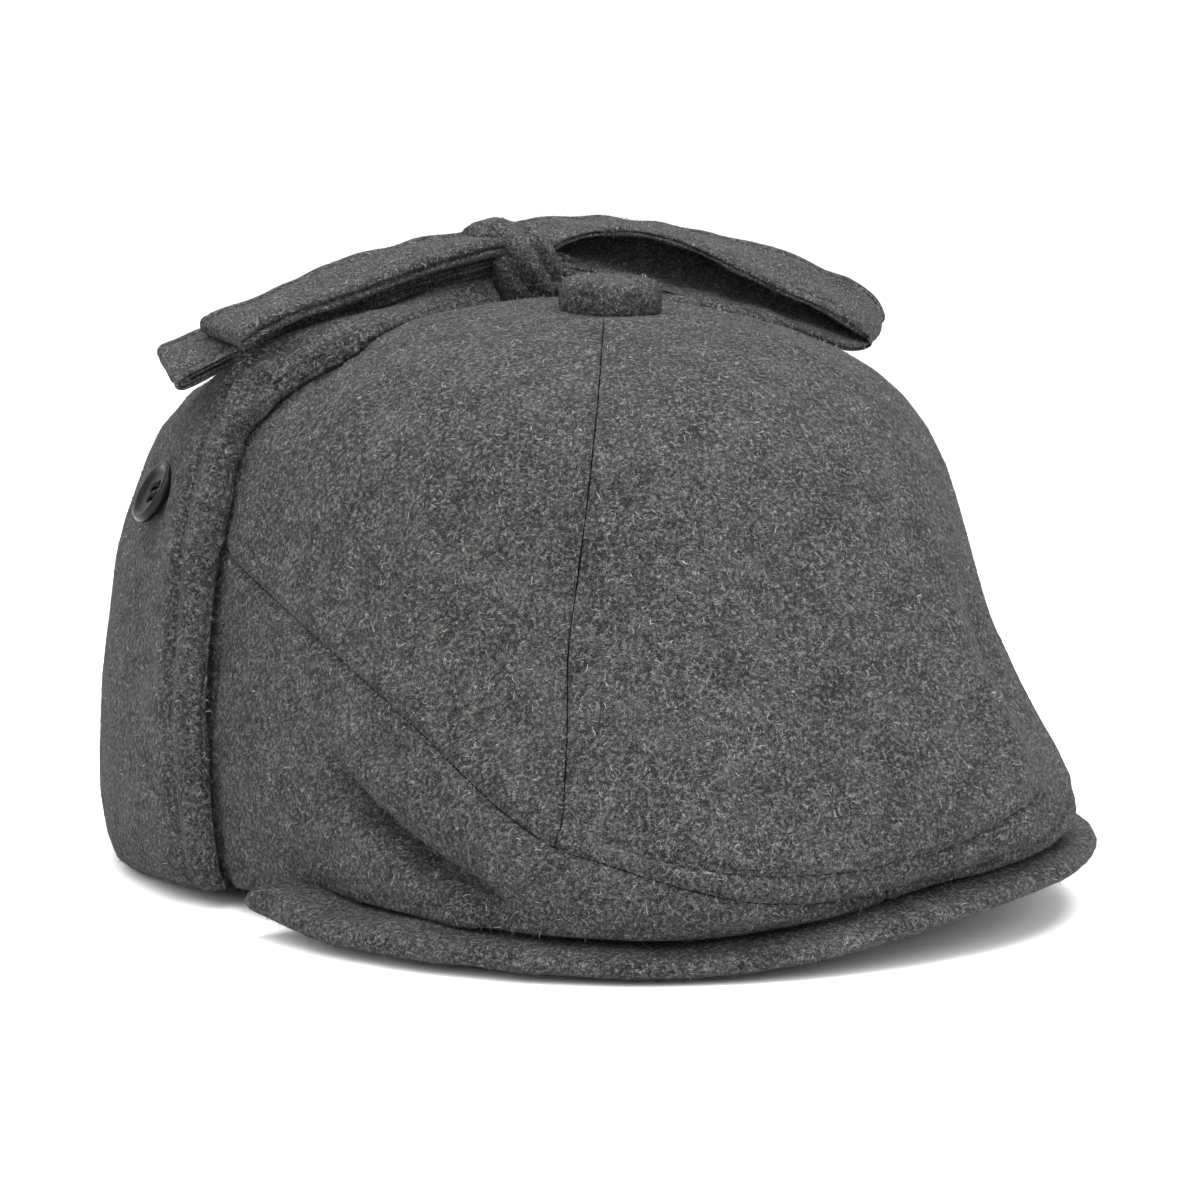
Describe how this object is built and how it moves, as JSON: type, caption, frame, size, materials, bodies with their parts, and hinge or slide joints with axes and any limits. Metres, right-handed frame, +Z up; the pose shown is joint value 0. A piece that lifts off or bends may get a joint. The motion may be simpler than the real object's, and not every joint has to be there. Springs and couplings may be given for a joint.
{
  "type": "ear flap cap",
  "caption": "Charcoal wool cap with a padded duckbill peak and ear flaps turned up over the crown and tied in a bow behind a cloth-covered top button.",
  "frame": {"origin": "middle of the cap's outer box in plan, on the surface it rests on", "axes": "+Z up, the peak points to -Y, the wearer's right is -X"},
  "size_m": [0.196, 0.2507, 0.1483],
  "materials": {
    "crown_wool": "heathered charcoal wool melton, matt and slightly fuzzy",
    "peak_wool": "heathered charcoal wool melton over a padded peak",
    "flap_wool": "heathered charcoal wool melton, padded with rolled edges",
    "tie_wool": "heathered charcoal wool melton, folded double",
    "button_wool": "wool melton drawn over a button form",
    "black_plastic": "polished black plastic"
  },
  "bodies": {
    "root": {"crown": "crown_wool", "peak": "peak_wool", "ear_flap_right": "flap_wool", "ear_flap_left": "flap_wool", "tie_knot": "tie_wool", "bow_loop_right": "tie_wool", "bow_loop_left": "tie_wool", "bow_tail_right": "tie_wool", "bow_tail_left": "tie_wool", "top_button": "button_wool", "flap_button_right": "black_plastic", "flap_button_left": "black_plastic"}
  },
  "joints": []
}
